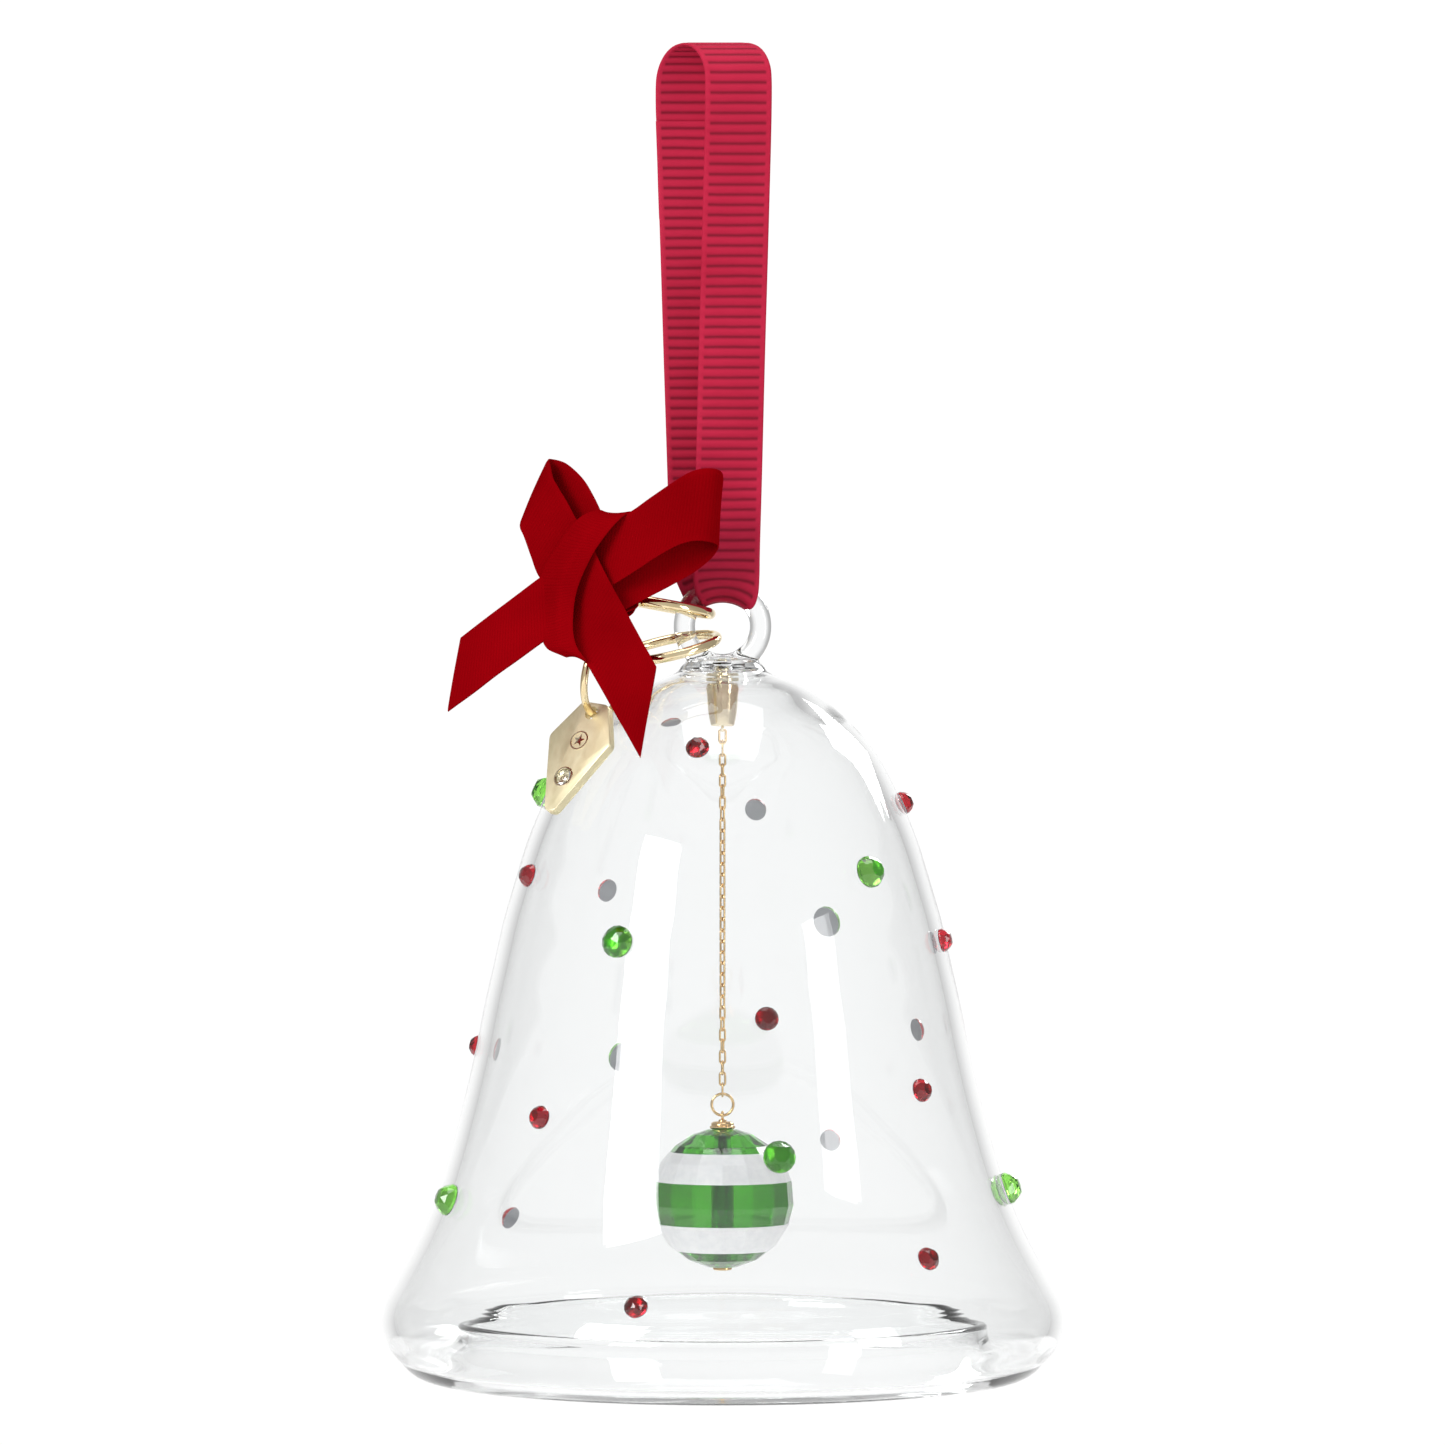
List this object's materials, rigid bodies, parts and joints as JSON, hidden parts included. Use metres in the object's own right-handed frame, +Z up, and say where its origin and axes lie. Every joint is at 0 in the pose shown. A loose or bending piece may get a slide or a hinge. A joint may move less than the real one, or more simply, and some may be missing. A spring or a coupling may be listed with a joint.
{
  "type": "christmas bell ornament",
  "caption": "Clear glass bell ornament with set stones, a chained crystal clapper, a ribbon bow, a small metal tag on split rings and a ribbon loop to hang it by.",
  "frame": {"origin": "hang point: the inside of the ribbon loop's top fold, on the bell's axis", "axes": "+Z up along the bell's axis, +X to the right seen from the front, the front faces -Y"},
  "size_m": [0.0824, 0.0824, 0.1607],
  "materials": {
    "clear_glass": "blown clear glass, fire polished",
    "red_crystal": "faceted dark red crystal over foil",
    "green_crystal": "faceted bright green crystal over foil",
    "silver_foil": "silver foil backing with a thin bright edge",
    "pale_gold": "pale gold plate, polished",
    "chain_gold": "rose gold plate, polished",
    "drop_crystal": "faceted deep green crystal, polished",
    "white_enamel": "opaque white enamel bands",
    "ring_gold": "pale gold plated wire, polished",
    "tag_gold": "pale gold plate, lightly brushed face, polished raised badge",
    "tag_crystal": "small clear faceted crystal",
    "bow_ribbon": "dark red grosgrain ribbon, fine cross ribs, slight sheen",
    "hanging_ribbon": "crimson grosgrain ribbon, clear cross ribs and woven edges"
  },
  "bodies": {
    "ribbon": {"hanging_ribbon": "hanging_ribbon", "ribbon_lap": "hanging_ribbon"},
    "bell": {"glass_bell": "clear_glass", "red_stones": "red_crystal", "green_stones": "green_crystal", "stone_foils": "silver_foil", "chain_anchor": "pale_gold"},
    "connector": {"connector_link": "pale_gold"},
    "chain_top": {"chain_upper": "chain_gold"},
    "chain_bottom": {"chain_lower": "chain_gold"},
    "drop_loop": {"drop_ring": "chain_gold"},
    "drop_hanger": {"drop_pin": "chain_gold", "drop_cap": "chain_gold"},
    "drop": {"crystal_ball": "drop_crystal", "white_bands": "white_enamel"},
    "bow_loop_ring": {"bow_ring": "ring_gold"},
    "bow": {"bow_knot": "bow_ribbon", "bow_left_loop": "bow_ribbon", "bow_right_loop": "bow_ribbon", "bow_left_tail": "bow_ribbon", "bow_right_tail": "bow_ribbon"},
    "tag_carrier": {"tag_carrier_ring": "ring_gold"},
    "tag_link": {"tag_ring": "ring_gold"},
    "tag": {"tag_plate": "tag_gold", "tag_stone": "tag_crystal"}
  },
  "joints": [
    {"name": "bell_swing", "type": "hinge", "parent": "ribbon", "child": "bell", "pos_m": [0, 0, -0.06543], "axis": [1, 0, 0], "range_deg": [-12, 12]},
    {"name": "connector_swing", "type": "hinge", "parent": "bell", "child": "connector", "pos_m": [0, 0, -0.08267], "axis": [0, 1, 0], "range_deg": [-10, 10]},
    {"name": "chain_swing", "type": "hinge", "parent": "connector", "child": "chain_top", "pos_m": [0, 0, -0.08432], "axis": [1, 0, 0], "range_deg": [-12, 12]},
    {"name": "chain_bend", "type": "hinge", "parent": "chain_top", "child": "chain_bottom", "pos_m": [0, 0, -0.10557], "axis": [0.7071, 0.7071, 0], "range_deg": [-5, 5]},
    {"name": "drop_ring_swing", "type": "hinge", "parent": "chain_bottom", "child": "drop_loop", "pos_m": [0, 0, -0.12685], "axis": [0, 1, 0], "range_deg": [-8, 8]},
    {"name": "pin_swing", "type": "hinge", "parent": "drop_loop", "child": "drop_hanger", "pos_m": [0, 0, -0.12913], "axis": [1, 0, 0], "range_deg": [-8, 8]},
    {"name": "ball_spin", "type": "hinge", "parent": "drop_hanger", "child": "drop", "pos_m": [0, 0, -0.13923], "axis": [0, 0, 1], "continuous": true},
    {"name": "bow_ring_yaw", "type": "hinge", "parent": "bell", "child": "bow_loop_ring", "pos_m": [-0.0046, 0, -0.06745], "axis": [0, 0, 1], "range_deg": [0, 12]},
    {"name": "bow_swivel", "type": "hinge", "parent": "bow_loop_ring", "child": "bow", "pos_m": [-0.01157, -0.00524, -0.06668], "axis": [0.6955, -0.7071, -0.1276], "range_deg": [-12, 0]},
    {"name": "carrier_ring_yaw", "type": "hinge", "parent": "bell", "child": "tag_carrier", "pos_m": [-0.0046, 0, -0.0727], "axis": [0, 0, 1], "range_deg": [-20, 0]},
    {"name": "tag_ring_swing", "type": "hinge", "parent": "tag_carrier", "child": "tag_link", "pos_m": [-0.01215, -0.00492, -0.07427], "axis": [0.3251, -0.9403, -0.1011], "range_deg": [-10, 0]},
    {"name": "tag_pivot", "type": "hinge", "parent": "tag_link", "child": "tag", "pos_m": [-0.01564, -0.01009, -0.08047], "axis": [-0.5038, -0.7268, 0.4669], "range_deg": [-15, 15]}
  ]
}
